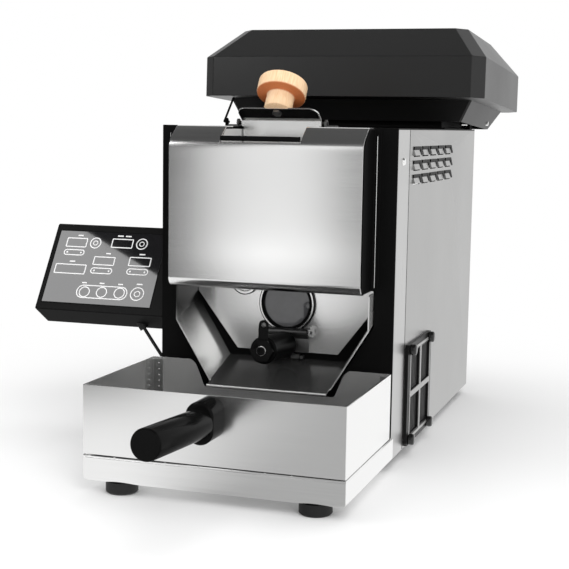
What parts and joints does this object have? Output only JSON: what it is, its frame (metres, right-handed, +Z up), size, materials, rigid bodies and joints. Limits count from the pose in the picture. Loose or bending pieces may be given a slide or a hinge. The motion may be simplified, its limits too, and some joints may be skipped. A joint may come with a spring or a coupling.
{
  "type": "coffee bean roaster",
  "caption": "Home drum coffee roaster: sheet-steel body with bean tray, folded front cover, bean chute, inlet flap, tilting exhaust hood and side control panel.",
  "frame": {"origin": "on the standing surface, under the middle of the body's front face", "axes": "+X to the roaster's right as seen from the front, +Y from front to back, +Z up"},
  "size_m": [0.393, 0.7244, 0.4058],
  "materials": {
    "steel": "brushed",
    "steel_dark": "dull",
    "bright": "polished",
    "mesh": "matt",
    "brass": "machined",
    "black": "satin powder coat",
    "hood": "satin powder coat",
    "plastic": "fine grain",
    "phenolic": "moulded",
    "rubber": "matt",
    "glass": "tinted",
    "wood": "oiled beech"
  },
  "bodies": {
    "roaster": {"base_box": "steel", "rubber_feet": "rubber", "body_floor": "steel_dark", "front_plate": "black", "corner_strips": "steel", "panel_screws": "bright", "side_panel_left": "steel", "side_panel_right": "steel", "rear_panel": "steel", "top_deck": "black", "face_plate": "steel", "sight_glass_ring": "black", "sight_glass": "glass", "port_cap": "steel_dark", "chute": "steel", "door_stop": "steel_dark", "front_cover": "steel", "cover_cheeks": "black", "inlet_funnel": "steel", "flap_brackets": "steel", "flap_pin": "bright", "door_pin": "bright", "drum_housing": "black", "heater": "steel_dark", "drum_bush": "brass", "drum_motor": "black", "filter_frame": "plastic", "filter_mesh": "mesh", "filter_screws": "plastic", "fan_frame": "plastic", "mains_inlet": "plastic", "switch_frame": "plastic", "control_case": "plastic", "control_glass": "glass", "panel_arm": "black", "panel_lead": "rubber", "lead_glands": "rubber", "exhaust_collar": "black", "hood_hinge_bracket": "black"},
    "hood": {"hood_shell": "hood", "hood_neck": "hood", "hood_rod": "bright", "chaff_screen": "steel"},
    "stay": {"hood_stay": "black"},
    "inlet_flap": {"inlet_flap": "steel", "wooden_knob": "wood", "knob_screw": "bright"},
    "discharge_flap": {"discharge_flap": "steel", "discharge_grip": "phenolic", "grip_cap": "steel_dark", "latch_arm": "steel"},
    "tray": {"bean_tray": "steel", "tray_floor": "steel", "handle_mount": "phenolic", "handle_bar": "phenolic", "handle_screws": "bright"},
    "drum": {"drum": "steel_dark", "drum_shaft": "bright"},
    "fan": {"fan_rotor": "plastic"},
    "switch": {"switch_rocker": "plastic"}
  },
  "joints": [
    {"name": "hood_hinge", "type": "hinge", "parent": "roaster", "child": "hood", "pos_m": [0, 0.38, 0.31], "axis": [-1, 0, 0], "range_deg": [0, 50]},
    {"name": "stay_fold", "type": "hinge", "parent": "roaster", "child": "stay", "pos_m": [-0.104, 0.147, 0.307], "axis": [-1, 0, 0], "range_deg": [0, 22]},
    {"name": "inlet_flap_hinge", "type": "hinge", "parent": "roaster", "child": "inlet_flap", "pos_m": [0, 0.0268, 0.306], "axis": [-1, 0, 0], "range_deg": [0, 35]},
    {"name": "discharge_hinge", "type": "hinge", "parent": "roaster", "child": "discharge_flap", "pos_m": [0, 0.0315, 0.115], "axis": [-1, 0, 0], "range_deg": [0, 40]},
    {"name": "tray_slide", "type": "slide", "parent": "roaster", "child": "tray", "axis": [0, -1, 0], "range_m": [0, 0.12]},
    {"name": "drum_spin", "type": "hinge", "parent": "roaster", "child": "drum", "pos_m": [0, 0.14, 0.16], "axis": [0, 1, 0], "continuous": true},
    {"name": "fan_spin", "type": "hinge", "parent": "roaster", "child": "fan", "pos_m": [0.095, 0.1005, 0.05875], "axis": [1, 0, 0], "continuous": true},
    {"name": "switch_tilt", "type": "hinge", "parent": "roaster", "child": "switch", "pos_m": [-0.06, 0.371, 0.094], "axis": [-1, 0, 0], "range_deg": [0, 16]}
  ]
}
